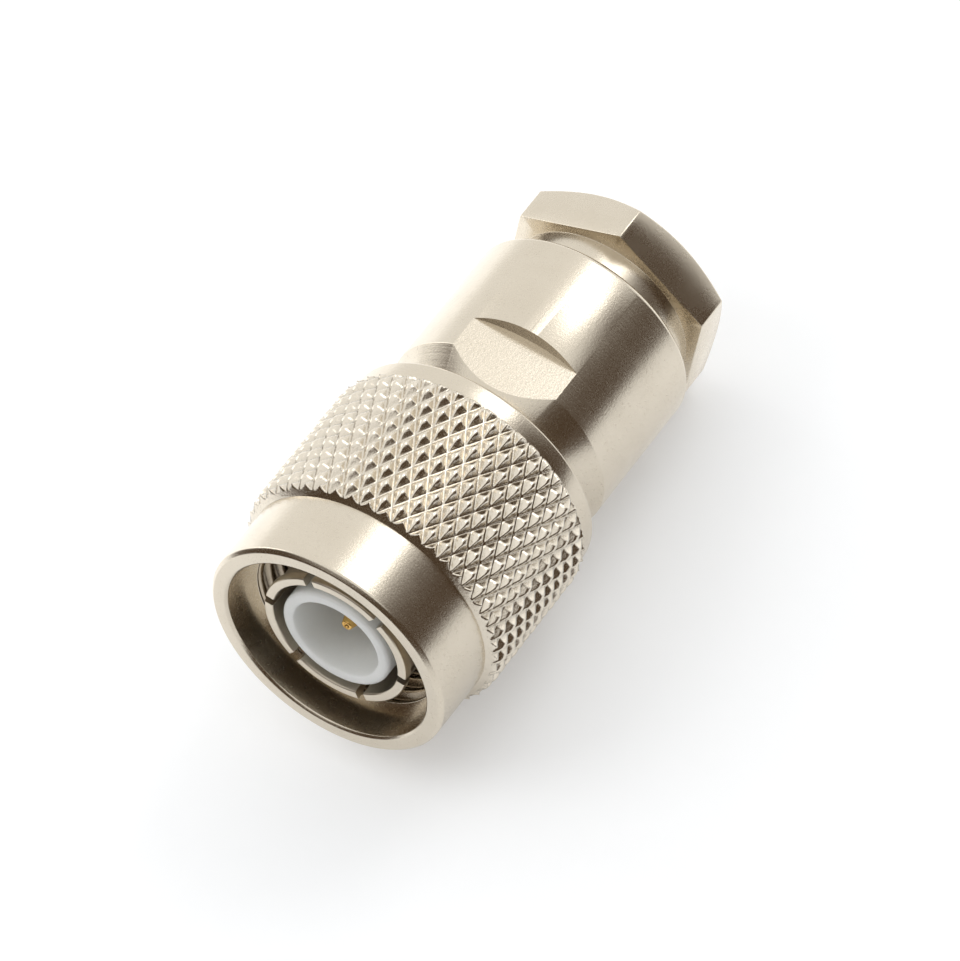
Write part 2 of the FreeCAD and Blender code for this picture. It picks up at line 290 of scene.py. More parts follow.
def platingGroup():
    group, given, out = newGroup("plating", [
        ("Color", "NodeSocketColor", (0.7, 0.62, 0.51, 1)),
        ("Dull Color", "NodeSocketColor", (0.6, 0.52, 0.4, 1)),
        ("Roughness", "NodeSocketFloat", 0.25),
        ("Clouding", "NodeSocketFloat", 0.35),
        ("Speckle", "NodeSocketFloat", 0.5),
        ("Speckle Scale", "NodeSocketFloat", 9.0),
        ("Turning Lines", "NodeSocketFloat", 0.4),
        ("Line Scale", "NodeSocketFloat", 9.0),
    ], [("Color", "NodeSocketColor"), ("Roughness", "NodeSocketFloat"), ("Height", "NodeSocketFloat")])
    where = addNode(group, "ShaderNodeGroup", {"node_tree": plugPlace})
    cloud = addNode(group, "ShaderNodeTexNoise", None, {
        "Scale": platingLook["cloudScale"], "Detail": 4.0, "Roughness": 0.6})
    group.links.new(where.outputs["Place"], cloud.inputs["Vector"])
    fine = addNode(group, "ShaderNodeTexNoise", None, {"Detail": 3.0, "Roughness": 0.65})
    group.links.new(where.outputs["Place"], fine.inputs["Vector"])
    group.links.new(given.outputs["Speckle Scale"], fine.inputs["Scale"])
    # The lines run round the plug, so they change with the station and hardly with the angle.
    lineAt = addNode(group, "ShaderNodeCombineXYZ")
    for index, (source, scale) in enumerate((
            ("Station", given.outputs["Line Scale"]), ("Round", platingLook["lineTurn"]),
            ("Radius", given.outputs["Line Scale"]))):
        group.links.new(mathNode(group, "MULTIPLY", where.outputs[source], scale), lineAt.inputs[index])
    lines = addNode(group, "ShaderNodeTexNoise", None, {"Scale": 1.0, "Detail": 2.0, "Roughness": 0.5})
    group.links.new(lineAt.outputs[0], lines.inputs["Vector"])

    cloudMask = mathNode(group, "SUBTRACT", cloud.outputs["Fac"], platingLook["cloudFrom"], True)
    cloudMask = mathNode(group, "MULTIPLY", cloudMask, platingLook["cloudGain"], True)
    dulled = mathNode(group, "MULTIPLY", cloudMask, given.outputs["Clouding"])
    pits = mathNode(group, "SUBTRACT", platingLook["pitFrom"], fine.outputs["Fac"], True)
    pits = mathNode(group, "MULTIPLY", pits, platingLook["pitGain"], True)
    pitted = mathNode(group, "MULTIPLY", pits, given.outputs["Speckle"])
    base = mixColors(group, dulled, given.outputs["Color"], given.outputs["Dull Color"])
    darkened = mixColors(
        group, mathNode(group, "MULTIPLY", pitted, platingLook["pitShare"]), base, platingLook["pitColor"])
    group.links.new(darkened, out.inputs["Color"])

    rough = given.outputs["Roughness"]
    for mask, share in ((dulled, platingLook["dullRoughness"]), (pitted, platingLook["pitRoughness"])):
        rough = mathNode(group, "ADD", rough, mathNode(group, "MULTIPLY", mask, share))
    group.links.new(rough, out.inputs["Roughness"])
    speckled = mathNode(group, "MULTIPLY", fine.outputs["Fac"], given.outputs["Speckle"])
    lined = mathNode(group, "MULTIPLY", lines.outputs["Fac"], given.outputs["Turning Lines"])
    group.links.new(mathNode(group, "ADD", speckled, lined), out.inputs["Height"])
    return group


# Darkening below a radius, in the roots of a knurl or a thread; in the thread's roots it is painted shade.
darkeningLook = {"patchScale": 1.4, "leastShare": 0.4}


def rootDarkeningGroup():
    group, given, out = newGroup("rootDarkening", [
        ("Color", "NodeSocketColor", (0.7, 0.62, 0.51, 1)),
        ("Dark Color", "NodeSocketColor", (0.2, 0.16, 0.11, 1)),
        ("Clean Radius", "NodeSocketFloat", 7.3),
        ("Darkest Radius", "NodeSocketFloat", 7.05),
        ("Amount", "NodeSocketFloat", 0.4),
    ], [("Color", "NodeSocketColor"), ("Mask", "NodeSocketFloat")])
    where = addNode(group, "ShaderNodeGroup", {"node_tree": plugPlace})
    uneven = addNode(group, "ShaderNodeTexNoise", None, {"Scale": darkeningLook["patchScale"], "Detail": 3.0})
    group.links.new(where.outputs["Place"], uneven.inputs["Vector"])
    span = mathNode(group, "SUBTRACT", given.outputs["Clean Radius"], given.outputs["Darkest Radius"])
    depth = mathNode(group, "SUBTRACT", given.outputs["Clean Radius"], where.outputs["Radius"])
    depth = mathNode(group, "DIVIDE", depth, span, True)
    mask = mathNode(group, "MULTIPLY", mathNode(group, "MULTIPLY", depth, given.outputs["Amount"]),
                    mathNode(group, "ADD", uneven.outputs["Fac"], darkeningLook["leastShare"]), True)
    group.links.new(mixColors(group, mask, given.outputs["Color"], given.outputs["Dark Color"]), out.inputs["Color"])
    group.links.new(mask, out.inputs["Mask"])
    return group


# Moulded or turned surface without metal: soft mottling and a fine grain.
grainLook = {"broadScale": 0.9, "gain": 2.5, "maskRoughness": 0.15}


def softGrainGroup():
    group, given, out = newGroup("softGrain", [
        ("Color", "NodeSocketColor", (0.8, 0.8, 0.8, 1)),
        ("Shade", "NodeSocketColor", (0.6, 0.6, 0.6, 1)),
        ("Roughness", "NodeSocketFloat", 0.5),
        ("Scale", "NodeSocketFloat", 6.0),
        ("Amount", "NodeSocketFloat", 0.5),
    ], [("Color", "NodeSocketColor"), ("Roughness", "NodeSocketFloat"), ("Height", "NodeSocketFloat")])
    where = addNode(group, "ShaderNodeGroup", {"node_tree": plugPlace})
    broad = addNode(group, "ShaderNodeTexNoise", None, {"Scale": grainLook["broadScale"], "Detail": 3.0})
    group.links.new(where.outputs["Place"], broad.inputs["Vector"])
    grain = addNode(group, "ShaderNodeTexNoise", None, {"Detail": 2.0})
    group.links.new(where.outputs["Place"], grain.inputs["Vector"])
    group.links.new(given.outputs["Scale"], grain.inputs["Scale"])
    mask = mathNode(group, "MULTIPLY", mathNode(group, "MULTIPLY", broad.outputs["Fac"], grain.outputs["Fac"]),
                    mathNode(group, "MULTIPLY", given.outputs["Amount"], grainLook["gain"]), True)
    group.links.new(mixColors(group, mask, given.outputs["Color"], given.outputs["Shade"]), out.inputs["Color"])
    rough = mathNode(group, "MULTIPLY", mask, grainLook["maskRoughness"])
    group.links.new(mathNode(group, "ADD", given.outputs["Roughness"], rough), out.inputs["Roughness"])
    height = mathNode(group, "MULTIPLY", grain.outputs["Fac"], given.outputs["Amount"])
    group.links.new(height, out.inputs["Height"])
    return group


plugPlace = plugPlaceGroup()
plating = platingGroup()
rootDarkening = rootDarkeningGroup()
softGrain = softGrainGroup()
print("node groups made")


def newMaterial(name):
    material = bpy.data.materials.new(name)
    material.use_nodes = True
    tree = material.node_tree
    tree.nodes.clear()
    shader = tree.nodes.new("ShaderNodeBsdfPrincipled")
    out = tree.nodes.new("ShaderNodeOutputMaterial")
    tree.links.new(shader.outputs[0], out.inputs[0])
    return material, tree, shader


surface = {
    "bumpHeight": 0.00003, "waxDepth": 0.0012,      # metres
    "platedBump": 0.35, "knurlBump": 0.8, "grainedBump": 0.25, "waxShare": 0.6,
}


def addBump(tree, shader, height, strength):
    bump = addNode(tree, "ShaderNodeBump", None, {"Strength": strength, "Distance": surface["bumpHeight"]})
    tree.links.new(height, bump.inputs["Height"])
    tree.links.new(bump.outputs[0], shader.inputs["Normal"])


def platedMaterial(name, look, rootDarkness=None, bumpStrength=surface["platedBump"]):
    material, tree, shader = newMaterial(name)
    shader.inputs["Metallic"].default_value = 1
    plate = addNode(tree, "ShaderNodeGroup", {"node_tree": plating}, look)
    color = plate.outputs["Color"]
    if rootDarkness:
        rootDarkNode = addNode(tree, "ShaderNodeGroup", {"node_tree": rootDarkening}, rootDarkness)
        tree.links.new(color, rootDarkNode.inputs["Color"])
        color = rootDarkNode.outputs["Color"]
    tree.links.new(color, shader.inputs["Base Color"])
    tree.links.new(plate.outputs["Roughness"], shader.inputs["Roughness"])
    addBump(tree, shader, plate.outputs["Height"], bumpStrength)
    return material


def grainedMaterial(name, look, subsurface=0.0):
    material, tree, shader = newMaterial(name)
    grain = addNode(tree, "ShaderNodeGroup", {"node_tree": softGrain}, look)
    tree.links.new(grain.outputs["Color"], shader.inputs["Base Color"])
    tree.links.new(grain.outputs["Roughness"], shader.inputs["Roughness"])
    addBump(tree, shader, grain.outputs["Height"], surface["grainedBump"])
    if subsurface:
        shader.inputs["Subsurface Weight"].default_value = subsurface
        shader.inputs["Subsurface Radius"].default_value = (1.0, 1.0, 1.0)
        shader.inputs["Subsurface Scale"].default_value = surface["waxDepth"]
    return material


finishes = {
    "paintedLitNickel": (0.80, 0.73, 0.62, 1),
    "nickel": (0.71, 0.64, 0.53, 1),
    "dullNickel": (0.61, 0.54, 0.43, 1),
    "bronze": (0.62, 0.43, 0.20, 1),
    "dullBronze": (0.40, 0.26, 0.12, 1),
    "gold": (0.84, 0.52, 0.16, 1),
    "dullGold": (0.62, 0.34, 0.08, 1),
}
turnedNickel = platedMaterial("turnedNickel", {
    "Color": finishes["nickel"], "Dull Color": finishes["dullNickel"], "Roughness": 0.24,
    "Clouding": 0.3, "Speckle": 0.5, "Speckle Scale": 8.0, "Turning Lines": 0.35, "Line Scale": 9.0})
# The knurl takes a lighter copy of the nut's nickel: a painted highlight on its facets.
knurledNickel = platedMaterial("knurledNickel", {
    "Color": finishes["paintedLitNickel"], "Dull Color": finishes["nickel"], "Roughness": 0.22,
    "Clouding": 0.4, "Speckle": 0.6, "Speckle Scale": 7.0, "Turning Lines": 0.0, "Line Scale": 4.0},
    {"Clean Radius": 7.3, "Darkest Radius": 7.15, "Amount": 0.15}, surface["knurlBump"])
milledNickel = platedMaterial("milledNickel", {
    "Color": finishes["nickel"], "Dull Color": finishes["dullNickel"], "Roughness": 0.26,
    "Clouding": 0.4, "Speckle": 0.45, "Speckle Scale": 7.0, "Turning Lines": 0.1, "Line Scale": 6.0})
contactNickel = platedMaterial("contactNickel", {
    "Color": finishes["nickel"], "Dull Color": finishes["dullNickel"], "Roughness": 0.28,
    "Clouding": 0.4, "Speckle": 0.4, "Speckle Scale": 9.0, "Turning Lines": 0.3, "Line Scale": 8.0})
# Inside the nut the nickel is painted darker, and darker still towards the thread's roots: painted shade for
# the dim inside of the nut.
threadNickelPaintedShade = platedMaterial("threadNickelPaintedShade", {
    "Color": (0.58, 0.50, 0.39, 1), "Dull Color": (0.46, 0.38, 0.28, 1), "Roughness": 0.24,
    "Clouding": 0.5, "Speckle": 0.4, "Speckle Scale": 8.0, "Turning Lines": 0.3, "Line Scale": 9.0},
    {"Clean Radius": 5.22, "Darkest Radius": 5.45, "Amount": 0.6, "Dark Color": (0.10, 0.075, 0.05, 1)})
springBronze = platedMaterial("springBronze", {
    "Color": finishes["bronze"], "Dull Color": finishes["dullBronze"], "Roughness": 0.3,
    "Clouding": 0.6, "Speckle": 0.4, "Speckle Scale": 6.0, "Turning Lines": 0.1, "Line Scale": 5.0})
pinGold = platedMaterial("pinGold", {
    "Color": finishes["gold"], "Dull Color": finishes["dullGold"], "Roughness": 0.2,
    "Clouding": 0.35, "Speckle": 0.25, "Speckle Scale": 12.0, "Turning Lines": 0.4, "Line Scale": 14.0})
waxyWhite = grainedMaterial("waxyWhite", {
    "Color": (0.85, 0.87, 0.86, 1), "Shade": (0.76, 0.78, 0.76, 1), "Roughness": 0.32,
    "Scale": 5.0, "Amount": 0.35}, surface["waxShare"])
blackRubber = grainedMaterial("blackRubber", {
    "Color": (0.022, 0.022, 0.024, 1), "Shade": (0.05, 0.05, 0.05, 1), "Roughness": 0.55,
    "Scale": 11.0, "Amount": 0.6})
print("materials made")

# Coupling nut: collar, bore and rear band
nut = {
    "collarRadius": 6.82, "collarEdge": 0.2,
    "bandRadius": 7.12, "bandFrom": 12.45, "rear": 13.65, "rearEdge": 0.16,
    "mouthRadius": 5.83, "mouthEdge": 0.13, "ledge": 2.0, "ledgeRadius": 5.32, "ledgeDepth": 0.12,
    "threadSeat": 5.7, "seatSlope": 0.02,
    "reliefRadius": 5.65, "reliefFrom": 7.7, "reliefTo": 8.5, "boreRadius": 5.03,
    "grooveRadius": 5.75, "grooveFrom": 11.05, "grooveTo": 12.21,
}
shellSkin = turnedSkin([
    (nut["collarRadius"] - nut["collarEdge"], 0, 0.05),
    (nut["collarRadius"], nut["collarEdge"], 0.07),
    (nut["collarRadius"], nut["bandFrom"]),
    (nut["bandRadius"], nut["bandFrom"], 0.04),
    (nut["bandRadius"], nut["rear"] - nut["rearEdge"], 0.06),
    (nut["bandRadius"] - nut["rearEdge"], nut["rear"], 0.06),
    (nut["boreRadius"], nut["rear"], 0.08),
    (nut["boreRadius"], nut["grooveTo"]),
    (nut["grooveRadius"], nut["grooveTo"]),
    (nut["grooveRadius"], nut["grooveFrom"]),
    (nut["boreRadius"], nut["grooveFrom"]),
    (nut["boreRadius"], nut["reliefTo"], 0.05),
    (nut["reliefRadius"], nut["reliefTo"]),
    (nut["reliefRadius"], nut["reliefFrom"]),
    (nut["threadSeat"], nut["reliefFrom"] - nut["seatSlope"]),
    (nut["threadSeat"], nut["ledge"] + nut["ledgeDepth"]),
    (nut["ledgeRadius"], nut["ledge"] + nut["ledgeDepth"]),
    (nut["ledgeRadius"], nut["ledge"], 0.04),
    (nut["mouthRadius"], nut["ledge"]),
    (nut["mouthRadius"], nut["mouthEdge"], 0.05),
    (nut["mouthRadius"] + nut["mouthEdge"], 0, 0.05),
], 256)
nutShell = addPiece("nutShell", makeMesh("nutShell", *shellSkin))
softenEdges(nutShell, 0)
finishPiece(nutShell, "coupling_ring", "coupling_nut", turnedNickel, "coupling_nut")
print("nut shell made")

# Coupling nut: the thread, a wall whose height follows the helix
thread = {
    "crestRadius": 5.15, "rootRadius": 5.56, "pitch": 0.907, "from": 2.1, "to": 7.2,
    "leadIn": 0.15, "outerRadius": 5.86, "crestShare": 0.2, "flankShare": 0.62,
    "stepsPerTurn": 14, "segments": 192, "startAngle": 150,
}


def threadRadius(angle, s):
    turn = ((s - thread["from"]) / thread["pitch"] - (angle - thread["startAngle"]) / 360) % 1
    across = abs(turn - 0.5) * 2            # 0 at the crest's middle, 1 at the root's middle
    rise = min(max((across - thread["crestShare"]) / thread["flankShare"], 0), 1)
    radius = thread["crestRadius"] + (thread["rootRadius"] - thread["crestRadius"]) * rise
    lead = thread["crestRadius"] + max(thread["leadIn"] - (s - thread["from"]), 0)
    return max(radius, lead)


threadAngles = [360 * i / thread["segments"] for i in range(thread["segments"])]
threadRings = [[place(thread["outerRadius"], angle, thread["from"]) for angle in threadAngles]]
threadSteps = round((thread["to"] - thread["from"]) / thread["pitch"] * thread["stepsPerTurn"])
for k in range(threadSteps + 1):
    s = thread["from"] + (thread["to"] - thread["from"]) * k / threadSteps
    threadRings.append([place(threadRadius(angle, s), angle, s) for angle in threadAngles])
for radius in (nut["reliefRadius"], thread["outerRadius"]):
    threadRings.append([place(radius, angle, nut["reliefFrom"]) for angle in threadAngles])
nutThread = addPiece("nutThread", makeMesh("nutThread", *ringSkin(threadRings, True)))
finishPiece(nutThread, "coupling_ring", "coupling_nut", threadNickelPaintedShade)
print("thread made")

# Coupling nut: the diamond knurl
knurl = {
    "tipRadius": 7.475, "sharpDepth": 0.52, "count": 47, "rows": 10, "from": 3.95, "to": 12.6,
    "bevel": 0.33, "bevelFoot": 6.82, "innerRadius": 6.7, "steps": 6, "bevelSteps": 8, "bevelReach": 0.43,
    "rearBevel": 0.3, "rearFoot": 7.1, "bluntFrom": 2 / 3, "bluntSlope": 0.25, "rootRound": 0.04,
    "groundAngle": 282.81,
}


# Height between the two sets of helical grooves, with blunt tips
def knurlHeight(across, along):
    u = across - math.floor(across + 0.5)
    v = along - math.floor(along + 0.5)
    if abs(u) + abs(v) > 0.5:
        u, v = abs(u) - 0.5, abs(v) - 0.5
    height = 1 - 2 * (abs(u) + abs(v))
    root = knurl["rootRound"]
    if height > knurl["bluntFrom"]:
        height = knurl["bluntFrom"] + (height - knurl["bluntFrom"]) * knurl["bluntSlope"]
    elif height < 2 * root:
        height = root + height ** 2 / (4 * root)
    return height


tipHeight = knurlHeight(0, 0)
knurlPitch = 360 / knurl["count"]
rowPitch = (knurl["to"] - knurl["from"]) / knurl["rows"]


def knurlRadius(angle, s):
    across = (angle - knurl["groundAngle"]) / knurlPitch + 0.5
    along = (s - knurl["to"]) / (2 * rowPitch)
    radius = knurl["tipRadius"] - knurl["sharpDepth"] * (tipHeight - knurlHeight(across, along))
    frontSlope = (knurl["tipRadius"] - knurl["bevelFoot"]) / knurl["bevel"]
    rearSlope = (knurl["tipRadius"] - knurl["rearFoot"]) / knurl["rearBevel"]
    frontLimit = knurl["bevelFoot"] + (s - knurl["from"]) * frontSlope
    rearLimit = knurl["rearFoot"] + (knurl["to"] - s) * rearSlope
    return min(radius, frontLimit, rearLimit)


knurlColumns = knurl["count"] * knurl["steps"] * 2
columnAngles = [knurl["groundAngle"] + knurlPitch * i / (knurl["steps"] * 2) for i in range(knurlColumns)]
rowCount = knurl["rows"] * knurl["steps"]
stations = [knurl["from"] + (knurl["to"] - knurl["from"]) * k / rowCount for k in range(rowCount + 1)]
for k in range(knurl["bevelSteps"]):
    stations.append(knurl["from"] + knurl["bevelReach"] * (k + 0.5) / knurl["bevelSteps"])
stations.sort()
knurlRings = [[place(knurl["innerRadius"], angle, knurl["from"]) for angle in columnAngles]]
knurlRings += [[place(knurlRadius(angle, s), angle, s) for angle in columnAngles] for s in stations]
knurlRings.append([place(knurl["innerRadius"], angle, knurl["to"]) for angle in columnAngles])
knurlVertices, knurlQuads = ringSkin(knurlRings, True)


# Split each small face along the groove or ridge that runs through it.
def flatterHalves(vertices, faces):
    halves = []
    for a, b, c, d in faces:
        normalOne = (vertices[b] - vertices[a]).cross(vertices[c] - vertices[a]).normalized()
        normalTwo = (vertices[c] - vertices[a]).cross(vertices[d] - vertices[a]).normalized()
        normalThree = (vertices[b] - vertices[a]).cross(vertices[d] - vertices[a]).normalized()
        normalFour = (vertices[c] - vertices[b]).cross(vertices[d] - vertices[b]).normalized()
        if normalOne.dot(normalTwo) < normalThree.dot(normalFour):
            halves += [(a, b, d), (b, c, d)]
        else:
            halves += [(a, b, c), (a, c, d)]
    return halves


nutKnurl = addPiece("nutKnurl", makeMesh("nutKnurl", knurlVertices, flatterHalves(knurlVertices, knurlQuads)))
finishPiece(nutKnurl, "coupling_ring", "coupling_nut", knurledNickel)
print("knurl made:", len(nutKnurl.data.polygons), "faces")

# Body with its two wrench flats
bodyLook = {
    "neckRadius": 4.95, "neckFrom": 8.9, "neckEdge": 0.15, "coneFrom": 13.97,
    "barrelRadius": 6.28, "barrelFrom": 15.97, "barrelTo": 24.1, "barrelEdge": 0.25,
    "ringFloor": 4.45, "ringFrom": 11.2, "ringTo": 12.06,
    "glandRadius": 5.05, "seatFrom": 15.5, "seatTo": 17.0,
    "contactBore": 3.65, "contactSeat": 4.0, "contactTo": 12.9,
    "flatHalf": 5.5, "flatTo": 18.29, "flatAngles": (115, 295),
    "cutterRadius": 12.0, "cutterDepth": 3, "cutterSides": 160, "edge": 0.035,
}
bodySkin = turnedSkin([
    (bodyLook["neckRadius"] - bodyLook["neckEdge"], bodyLook["neckFrom"]),
    (bodyLook["neckRadius"], bodyLook["neckFrom"] + bodyLook["neckEdge"]),
    (bodyLook["neckRadius"], bodyLook["ringFrom"]),
    (bodyLook["ringFloor"], bodyLook["ringFrom"]),
    (bodyLook["ringFloor"], bodyLook["ringTo"]),
    (bodyLook["neckRadius"], bodyLook["ringTo"]),
    (bodyLook["neckRadius"], bodyLook["coneFrom"], 0.08),
    (bodyLook["barrelRadius"], bodyLook["barrelFrom"], 0.04),
    (bodyLook["barrelRadius"], bodyLook["barrelTo"] - bodyLook["barrelEdge"], 0.12),
    (bodyLook["barrelRadius"] - bodyLook["barrelEdge"], bodyLook["barrelTo"], 0.1),
    (bodyLook["glandRadius"], bodyLook["barrelTo"], 0.08),
    (bodyLook["glandRadius"], bodyLook["seatTo"]),
    (bodyLook["contactBore"], bodyLook["seatFrom"]),
    (bodyLook["contactBore"], bodyLook["contactTo"]),
    (bodyLook["contactSeat"], bodyLook["contactTo"]),
    (bodyLook["contactSeat"], bodyLook["neckFrom"]),
], 240)
plugBody = addPiece("plugBody", makeMesh("plugBody", *bodySkin))


# Directions at an angle round the plug: straight out from its axis and along its skin
def outAndSideways(angle):
    turn = math.radians(angle - lie["roll"])
    outward = leftward * math.cos(turn) + upward * math.sin(turn)
    return outward, rearward.cross(outward)


# Round cutter that lies across the plug, from the flat outwards
def flatCutter(angle):
    outward, sideways = outAndSideways(angle)
    radius, sides = bodyLook["cutterRadius"], bodyLook["cutterSides"]
    centre = rimCentre + (outward * bodyLook["flatHalf"] + rearward * (bodyLook["flatTo"] - radius)) * mm
    rings = []
    for depth in (0, bodyLook["cutterDepth"]):
        rings.append([
            centre + (outward * depth + (rearward * math.cos(t) + sideways * math.sin(t)) * radius) * mm
            for t in (2 * math.pi * i / sides for i in range(sides))])
    vertices, faces = ringSkin(rings, False)
    faces += [tuple(range(sides)), tuple(range(sides, 2 * sides))]
    return addPiece("flatCutter", makeMesh("flatCutter", vertices, faces, False))


for flatAngle in bodyLook["flatAngles"]:
    cutAway(plugBody, flatCutter(flatAngle))
softenEdges(plugBody, bodyLook["edge"])
finishPiece(plugBody, "plug_body", "body", turnedNickel, "body")
print("body made")

# Outer contact: spring fingers with a bulged tip
fingers = {
    "tip": 0.84, "innerRadius": 3.65, "outerRadius": 4.0, "bulge": 0.17, "bulgeTo": 1.34, "bulgeEnd": 1.49,
    "rear": 12.9, "slotWidth": 0.5, "slotTo": 6.64, "slotAngle": 29, "count": 6,
    "tipEdge": 0.06, "cutterReach": 6, "cutterLead": 1, "edge": 0.03,
}
fingerSkin = turnedSkin([
    (fingers["innerRadius"] + fingers["tipEdge"], fingers["tip"], 0.03),
    (fingers["outerRadius"] + fingers["bulge"] - fingers["tipEdge"], fingers["tip"], 0.03),
    (fingers["outerRadius"] + fingers["bulge"], fingers["tip"] + fingers["tipEdge"], 0.03),
    (fingers["outerRadius"] + fingers["bulge"], fingers["bulgeTo"], 0.05),
    (fingers["outerRadius"], fingers["bulgeEnd"], 0.05),
    (fingers["outerRadius"], fingers["rear"]),
    (fingers["innerRadius"], fingers["rear"]),
    (fingers["innerRadius"], fingers["tip"] + fingers["tipEdge"], 0.03),
], 192)
outerContact = addPiece("outerContact", makeMesh("outerContact", *fingerSkin))


# One long block cuts the two slots that face each other.
def slotCutter(angle):
    outward, sideways = outAndSideways(angle)
    corners = []
    for s in (fingers["tip"] - fingers["cutterLead"], fingers["slotTo"]):
        for end, side in ((-1, -1), (1, -1), (1, 1), (-1, 1)):
            across = outward * end * fingers["cutterReach"] + sideways * side * fingers["slotWidth"] / 2
            corners.append(rimCentre + (across + rearward * s) * mm)
    faces = [(0, 1, 2, 3), (7, 6, 5, 4), (0, 4, 5, 1), (1, 5, 6, 2), (2, 6, 7, 3), (3, 7, 4, 0)]
    return addPiece("slotCutter", makeMesh("slotCutter", corners, faces, False))


for k in range(fingers["count"] // 2):
    cutAway(outerContact, slotCutter(fingers["slotAngle"] + k * 360 / fingers["count"]))
softenEdges(outerContact, fingers["edge"])
finishPiece(outerContact, "plug_body", "outer_contact", contactNickel, "outer_contact")
print("outer contact made")

# White sleeve in the fingers
sleeve = {
    "front": 0.88, "noseRadius": 3.12, "noseEdge": 0.12, "noseTo": 7.4, "backRadius": 3.63, "joint": 13.45,
    "mouthRadius": 2.46, "mouthEdge": 0.08, "cavityTo": 6.4,
    "pinHole": 0.695, "shoulderHole": 1.17, "shoulderFrom": 12.9,
}
sleeveSkin = turnedSkin([
    (sleeve["mouthRadius"] + sleeve["mouthEdge"], sleeve["front"], 0.16),
    (sleeve["noseRadius"] - sleeve["noseEdge"], sleeve["front"], 0.1),
    (sleeve["noseRadius"], sleeve["front"] + sleeve["noseEdge"], 0.1),
    (sleeve["noseRadius"], sleeve["noseTo"], 0.1),
    (sleeve["backRadius"], sleeve["noseTo"], 0.08),
    (sleeve["backRadius"], sleeve["joint"], 0.08),
    (sleeve["shoulderHole"], sleeve["joint"]),
    (sleeve["shoulderHole"], sleeve["shoulderFrom"]),
    (sleeve["pinHole"], sleeve["shoulderFrom"]),
    (sleeve["pinHole"], sleeve["cavityTo"], 0.1),
    (sleeve["mouthRadius"], sleeve["cavityTo"], 0.3),
    (sleeve["mouthRadius"], sleeve["front"] + sleeve["mouthEdge"], 0.22),
], 160, steps=6)
whiteSleeve = addPiece("whiteSleeve", makeMesh("whiteSleeve", *sleeveSkin))
softenEdges(whiteSleeve, 0)
finishPiece(whiteSleeve, "plug_body", "front_insulator", waxyWhite, "front_insulator")
print("sleeve made")

# Gold pin
pin = {
    "tip": 1.9, "tipRadius": 0.28, "dimpleRadius": 0.16, "dimpleDepth": 0.3, "radius": 0.675, "taper": 1.3,
    "shoulderFrom": 12.95, "joint": 13.45, "shoulderRadius": 1.15, "potRadius": 1.0, "potTo": 16.6,
    "holeRadius": 0.5, "holeFrom": 14.4,
}
pinSkin = turnedSkin([
    (0, pin["tip"] + pin["dimpleDepth"]),
    (pin["dimpleRadius"], pin["tip"], 0.04),
    (pin["tipRadius"], pin["tip"], 0.08),
    (pin["radius"], pin["tip"] + pin["taper"], 0.3),
    (pin["radius"], pin["shoulderFrom"]),
    (pin["shoulderRadius"], pin["shoulderFrom"], 0.05),
    (pin["shoulderRadius"], pin["joint"], 0.05),
    (pin["potRadius"], pin["joint"]),
    (pin["potRadius"], pin["potTo"], 0.08),
    (pin["holeRadius"], pin["potTo"], 0.06),
    (pin["holeRadius"], pin["holeFrom"]),
    (0, pin["holeFrom"]),
], 96, closed=False, steps=6)
goldPin = addPiece("goldPin", makeMesh("goldPin", *pinSkin))
softenEdges(goldPin, 0)
finishPiece(goldPin, "plug_body", "centre_contact", pinGold, "centre_contact")
print("pin made")

# Clamp nut: hexagon with a turned rear bevel, round shank and cable bore
hexNut = {
    "shankFrom": 22.1, "shankRadius": 5.0, "shankEdge": 0.2, "front": 25.84, "rear": 28.55, "halfFlats": 5.5,
    "rearFaceRadius": 5.05, "bevelAngle": 30, "boreRadius": 2.75, "boreEdge": 0.3, "edge": 0.06,
    "roundedFrom": 14, "segments": 192,
}
hexAngles = [360 * i / hexNut["segments"] for i in range(hexNut["segments"])]


# A ring of six straight sides. Its station may change with the distance from the axis.
def hexRing(station):
    radii = [hexNut["halfFlats"] / math.cos(math.radians((angle % 60) - 30)) for angle in hexAngles]
    return [place(radius, angle, station(radius)) for radius, angle in zip(radii, hexAngles)]


def roundRing(radius, s):
    return [place(radius, angle, s) for angle in hexAngles]


bevelSlope = math.tan(math.radians(hexNut["bevelAngle"]))
hexRings = [
    roundRing(hexNut["boreRadius"], hexNut["shankFrom"]),
    roundRing(hexNut["shankRadius"] - hexNut["shankEdge"], hexNut["shankFrom"]),
    roundRing(hexNut["shankRadius"], hexNut["shankFrom"] + hexNut["shankEdge"]),
    roundRing(hexNut["shankRadius"], hexNut["front"]),
    hexRing(lambda radius: hexNut["front"]),
    hexRing(lambda radius: hexNut["rear"] - (radius - hexNut["rearFaceRadius"]) * bevelSlope),
    roundRing(hexNut["rearFaceRadius"], hexNut["rear"]),
    roundRing(hexNut["boreRadius"] + hexNut["boreEdge"], hexNut["rear"]),
    roundRing(hexNut["boreRadius"], hexNut["rear"] - hexNut["boreEdge"]),
]
clampNut = addPiece("clampNut", makeMesh("clampNut", *ringSkin(hexRings, True)))
softenEdges(clampNut, hexNut["edge"], hexNut["roundedFrom"])
finishPiece(clampNut, "gland_nut", "clamp_nut", milledNickel, "clamp_nut")
print("clamp nut made")

# Solids that keep their own shape and only take a finish
plainPieces = {
    "retaining_ring": springBronze,
    "face_gasket": blackRubber,
    "rear_insulator": waxyWhite,
    "braid_clamp": turnedNickel,
    "cable_gasket": blackRubber,
    "gland_washer": turnedNickel,
}
for nodeName, material in plainPieces.items():
    node = frame["nodes"][nodeName]
    if not node.material_slots:
        node.data.materials.append(material)
    for slot in node.material_slots:
        slot.material = material
print("carried-over solids finished")


# Direction that azimuth and elevation give: 0 is in front of the nut's mouth and 90 its right.
def heading(azimuth, elevation):
    a, e = math.radians(azimuth), math.radians(elevation)
    return Vector((math.sin(a) * math.cos(e), -math.cos(a) * math.cos(e), math.sin(e)))


